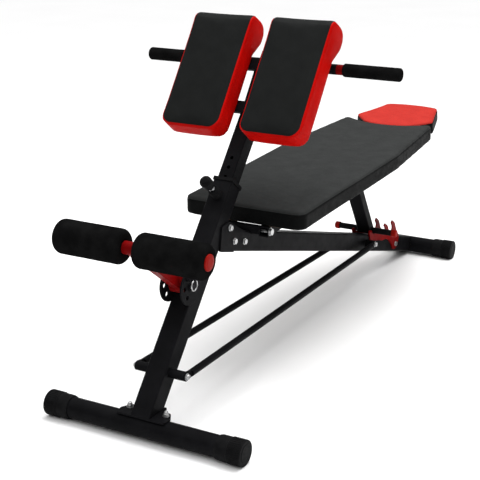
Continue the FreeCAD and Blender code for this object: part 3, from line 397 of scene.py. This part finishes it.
def inflated(obj, held):
    """Blow an object up with cloth pressure, except where held(co) says it can't move."""
    fixed = obj.vertex_groups.new(name="held")
    fixed.add([v.index for v in obj.data.vertices if held(v.co / MM)], 1.0, "REPLACE")
    settings = obj.modifiers.new("cloth", "CLOTH").settings
    settings.quality = 4
    settings.use_pressure = True
    settings.uniform_pressure_force = PRESSURE
    settings.effector_weights.gravity = 0
    settings.vertex_group_mass = fixed.name
    settings.tension_stiffness = settings.compression_stiffness = 18
    settings.bending_stiffness = 1.2
    for step in range(1, CLOTH_FRAMES + 1):
        SCENE.frame_set(step)
    apply_modifiers(obj)
    SCENE.frame_set(1)


def stuffed(obj, voxel, held, seam_at):
    """Remesh and inflate, and keep a smooth, limited swelling.

    seam_at(co) is the signed distance to the cover's seam, measured before the swelling."""
    voxelled(obj, voxel)
    start = places_of(obj.data)
    seam = obj.data.attributes.new("seam", "FLOAT", "POINT")
    seam.data.foreach_set("value", [seam_at(Vector(place) / MM) * MM for place in start])
    inflated(obj, held)
    moves = evened(obj.data, places_of(obj.data) - start) / MM
    length = numpy.linalg.norm(moves, axis=1, keepdims=True) + 1e-9
    moves *= SWELL_CAP * (1 - numpy.exp(-length / SWELL_CAP)) / length
    obj.data.vertices.foreach_set("co", (start + moves * MM).ravel())
    obj.data.update()
    refine = obj.modifiers.new("refine", "SUBSURF")
    refine.levels = refine.render_levels = 1
    apply_modifiers(obj)
    obj.data.shade_smooth()


def seam_line(obj, depth, width):
    """Pull the cover in along its seam; millimetres."""
    places = [v.co.copy() for v in obj.data.vertices]
    outward = [v.normal.copy() for v in obj.data.vertices]
    away = [entry.value / MM for entry in obj.data.attributes["seam"].data]
    for vertex, place, normal, d in zip(obj.data.vertices, places, outward, away):
        vertex.co = place - normal * depth * math.exp(-(d / width) ** 2) * MM


def cushion(obj, material, body, matrix, replaced):
    obj.data.materials.clear()
    obj.data.materials.append(material)
    obj.matrix_world = matrix
    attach(obj, body)
    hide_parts(replaced)


def tilt(degrees, x, y, z):
    """Frame at a point given from under the front foot, turned about X; millimetres and degrees."""
    place = Matrix.Translation(Vector((x * MM, y * MM - MIDDLE_Y, z * MM)))
    return place @ Matrix.Rotation(math.radians(degrees), 4, "X")


def flat_cushion(name, outline, deep, voxel, seam_depth):
    """Cushion whose top is just under z = 0: a small turn at the board, a soft shoulder at the top."""
    obj = lofted(name, outline, [(2.5, -deep), (0, -deep + 2), (-0.5, -deep + 6), (-0.5, -8), (0.3, -4.4),
                                 (2.5, -2), (6.5, -1)])
    stuffed(obj, voxel, held=lambda co: co.z < -deep + FLAT_HELD, seam_at=lambda co: -(co.z + seam_depth))
    return obj


# ---------------------------------------------------------------- back pad and head pad
BACK_OUTLINE = rounded([(-168, 0, 25), (168, 0, 25), (172, 580, 160), (142, 932, 12), (0, 829, 214),
                        (-142, 932, 12), (-172, 580, 160)])
BACK_TILT, BACK_LOW_END = 2.6, (0, 440, 433.5)

HEAD_SIDE = [(62, 0, 70), (127, 78, 12), (86, 229, 14)]
HEAD_OTHER_SIDE = [(-x, y, radius) for x, y, radius in reversed(HEAD_SIDE)]
HEAD_OUTLINE = rounded(HEAD_SIDE + [(0, 251, 300)] + HEAD_OTHER_SIDE)
HEAD_TILT, HEAD_LOW_END = 4.5, (0, 1331, 470)

back = flat_cushion("back_cushion", BACK_OUTLINE, deep=46.5, voxel=5, seam_depth=7.5)
seam_line(back, depth=1.0, width=2.0)
cushion(back, BACK_COVER, "backrest", tilt(BACK_TILT, *BACK_LOW_END), "back_pad")

head = flat_cushion("head_cushion", HEAD_OUTLINE, deep=41, voxel=4, seam_depth=6.5)
seam_line(head, depth=0.9, width=1.8)
cushion(head, HEAD_COVER, "backrest", tilt(HEAD_TILT, *HEAD_LOW_END), "head_pad")

# ---------------------------------------------------------------- thigh pads
THIGH_HALF, THIGH_LOW, THIGH_DEEP = 81.6, -8, 55.5
THIGH_CORNER = 30          # radius of the two lower corners in the front view
THIGH_SKIN = -0.4          # inset of the cover from its outline: it stands a little outside
THIGH_EDGE = 3.6           # rounding along both sides
THIGH_STEP = 4             # between layers across the width
THIGH_HELD = 3             # thickness held at the board
THIGH_BOARD_TOP = 208      # where the board ends along the pad
SEAM_FROM_SIDE, SEAM_FROM_LOW = 3.4, 4
THIGH_LEAN = 35.2          # degrees from upright
THIGH_APART = 106.45       # from the bench's middle to a pad's middle
THIGH_LOW_END = (372.5, 635.5)
THIGH_SIDE = resampled(rounded([(0, THIGH_LOW, 6), (0, 304, 24), (-80, 306, 30), (-80, 260, 22),
                                (-56, 212, 8), (-THIGH_DEEP, 204, 4), (-THIGH_DEEP, THIGH_LOW, 12)]))


def thigh_pad(name):
    """Side profile padded across the width, with the lower corners rounded in the front view."""
    half = THIGH_HALF - THIGH_SKIN
    count = int(2 * half / THIGH_STEP)
    layers = []
    for k in range(count + 1):
        across = -half + THIGH_STEP * k if k < count else half
        near = min(THIGH_EDGE, half - abs(across))
        rise = math.sqrt(THIGH_EDGE ** 2 - (THIGH_EDGE - near) ** 2)
        layers.append((THIGH_SKIN + THIGH_EDGE - rise, across))
    obj = lofted(name, THIGH_SIDE, layers)
    voxelled(obj, THIGH_STEP)
    centre_x, centre_y = (THIGH_HALF - THIGH_CORNER) * MM, (THIGH_LOW + THIGH_CORNER) * MM
    limit = (THIGH_CORNER - THIGH_SKIN) * MM
    for vertex in obj.data.vertices:
        out, along, across = vertex.co
        x, y = abs(across) - centre_x, along - centre_y
        if x > 0 and y < 0 and math.hypot(x, y) > limit:
            pull = limit / math.hypot(x, y)
            across = math.copysign(centre_x + x * pull, across)
            along = centre_y + y * pull
        vertex.co = (across, along, out)
    obj.data.flip_normals()
    return obj


def thigh_seam(co):
    """Signed distance, in the front view, to a seam just inside the sides and the lower corners."""
    radius = THIGH_CORNER - SEAM_FROM_LOW
    x = abs(co.x) - (THIGH_HALF - SEAM_FROM_SIDE - radius)
    y = THIGH_LOW + SEAM_FROM_LOW + radius - co.y
    if x > 0 and y > 0:
        return math.hypot(x, y) - radius
    return max(x, y) - radius


thigh = thigh_pad("thigh_cushion_right")
stuffed(thigh, 4, held=lambda co: co.z < -THIGH_DEEP + THIGH_HELD and co.y < THIGH_BOARD_TOP,
        seam_at=thigh_seam)
seam_line(thigh, depth=0.8, width=1.6)
twin = thigh.copy()
twin.name = "thigh_cushion_left"
twin.data = thigh.data.copy()
SCENE.collection.objects.link(twin)
for obj, side, hand in ((thigh, 1, "right"), (twin, -1, "left")):
    place = tilt(90 - THIGH_LEAN, side * THIGH_APART, *THIGH_LOW_END)
    cushion(obj, THIGH_COVER, "upper_post", place, f"thigh_pad_{hand}")

# ---------------------------------------------------------------- foam sleeves
SLEEVE_STEP = 3.0          # millimetres between rings
WIDE_DENT, SMALL_DENT = 34, 11
END_WALL = 3               # closed end of a grip
NEAR_AXIS = 0.01


def sleeve(name, profile, dents, around):
    """Foam turned about X through (x, radius) points in millimetres, with slow dents in its skin."""
    mesh = bmesh.new()
    rings = []
    for x, radius in profile:
        ring = []
        for k in range(around):
            turn = 2 * math.pi * k / around
            place = Vector((x, radius * math.cos(turn), radius * math.sin(turn)))
            swell = noise.noise(place / WIDE_DENT) + 0.5 * noise.noise(place / SMALL_DENT)
            outward = Vector((0, place.y, place.z)).normalized()
            ring.append(mesh.verts.new(place * MM + outward * swell * dents * MM))
        rings.append(ring)
    for low, high in zip(rings, rings[1:] + rings[:1]):
        for k in range(around):
            j = (k + 1) % around
            mesh.faces.new((low[k], high[k], high[j], low[j]))
    bmesh.ops.recalc_face_normals(mesh, faces=mesh.faces)
    obj = solid_from(name, mesh)
    obj.data.shade_smooth()
    return obj


def sleeve_profile(inner, outer, bore, radius, corner, closed=False):
    """Section of a foam tube: straight bore, rounded shoulders, and a wall at the outer end if closed."""
    ends = []
    for end, direction in ((inner, 1), (outer, -1)):
        arc = [(end + direction * corner * (1 - math.cos(math.radians(a))),
                radius - corner * (1 - math.sin(math.radians(a)))) for a in range(0, 91, 10)]
        ends.append([(end, bore), (end, (bore + radius - corner) / 2)] + arc)
    left, right = ends
    if closed:
        right = [(outer - END_WALL, bore), (outer - END_WALL, NEAR_AXIS), (outer, NEAR_AXIS)] + right[2:]
    count = int((outer - inner - 2 * corner) / SLEEVE_STEP)
    middle = [(inner + corner + SLEEVE_STEP * k, radius) for k in range(1, count)]
    return left + middle + right[::-1]


FOAM_SECTION = sleeve_profile(inner=18.5, outer=187, bore=12.6, radius=38.8, corner=12)
GRIP_SECTION = sleeve_profile(inner=200, outer=346, bore=12.55, radius=16, corner=5, closed=True)
ROLLER = Vector((0, -25.6 * MM - MIDDLE_Y, 452 * MM))
low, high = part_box("handlebar")
BAR = Vector((0, (low.y + high.y) / 2, (low.z + high.z) / 2))
for turn, hand in ((0, "right"), (math.pi, "left")):
    facing = Matrix.Rotation(turn, 4, "Z")
    foam = sleeve(f"foam_sleeve_{hand}", FOAM_SECTION, dents=0.35, around=96)
    cushion(foam, FOAM, f"foam_roller_{hand}", Matrix.Translation(ROLLER) @ facing, f"foam_roller_{hand}")
    grip = sleeve(f"grip_sleeve_{hand}", GRIP_SECTION, dents=0.15, around=64)
    cushion(grip, FOAM, "upper_post", Matrix.Translation(BAR) @ facing, f"handle_grip_{hand}")

# ---------------------------------------------------------------- floor, light and camera
FLOOR = 30                 # metres from the middle to an edge
LIT = Vector((0, 0, 0.4))
CAMERA_PLACE = (1.344, -1.940 - MIDDLE_Y, 1.2087)
CAMERA_DOWN, CAMERA_TURN = 17.585, 29.51       # degrees below level, and left of the +Y axis

floor_mesh = bpy.data.meshes.new("floor")
floor_mesh.from_pydata([(-FLOOR, -FLOOR, 0), (FLOOR, -FLOOR, 0), (FLOOR, FLOOR, 0), (-FLOOR, FLOOR, 0)],
                       [], [(0, 1, 2, 3)])
floor = linked("floor", floor_mesh)
paper = Shader("floor_paper", Specular_IOR_Level=0.2)
tone = paper.remap(paper.noise(0.6, 3), 0.3, 0.7)
floor_mesh.materials.append(paper.finish(paper.mix(tone, *PAPER), roughness=0.9))

# a white sky, brighter overhead
world = bpy.data.worlds.new("studio")
world.use_nodes = True
sky = world.node_tree
direction = sky.nodes.new("ShaderNodeTexCoord").outputs["Generated"]
split = sky.nodes.new("ShaderNodeSeparateXYZ")
sky.links.new(direction, split.inputs["Vector"])
height = sky.nodes.new("ShaderNodeMapRange")
height.inputs["From Min"].default_value, height.inputs["From Max"].default_value = 0.3, 0.9
height.inputs["To Min"].default_value, height.inputs["To Max"].default_value = 0.05, 1.7
sky.links.new(split.outputs["Z"], height.inputs["Value"])
sky.links.new(height.outputs["Result"], sky.nodes["Background"].inputs["Strength"])
sky.nodes["Background"].inputs["Color"].default_value = (1, 1, 1, 1)
SCENE.world = world
SCENE.view_settings.view_transform = "Standard"


def softbox(name, place, size, power):
    """Round area light aimed at the bench."""
    light = bpy.data.lights.new(name, "AREA")
    light.shape, light.size, light.energy = "DISK", size, power
    obj = linked(name, light)
    obj.location = place
    obj.rotation_euler = (LIT - Vector(place)).to_track_quat("-Z", "Y").to_euler()


softbox("overhead", (0.3, 0.4, 3.0), size=2.6, power=80)
softbox("front_fill", (1.6, -2.6, 1.9), size=1.8, power=5)
softbox("side_fill", (-2.6, -1.2, 1.6), size=1.8, power=3)

camera_data = bpy.data.cameras.new("camera")
camera_data.sensor_width = 36
camera_data.lens = 87.626
camera = linked("camera", camera_data)
camera.location = CAMERA_PLACE
camera.rotation_euler = (math.radians(90 - CAMERA_DOWN), 0, math.radians(CAMERA_TURN))
SCENE.camera = camera
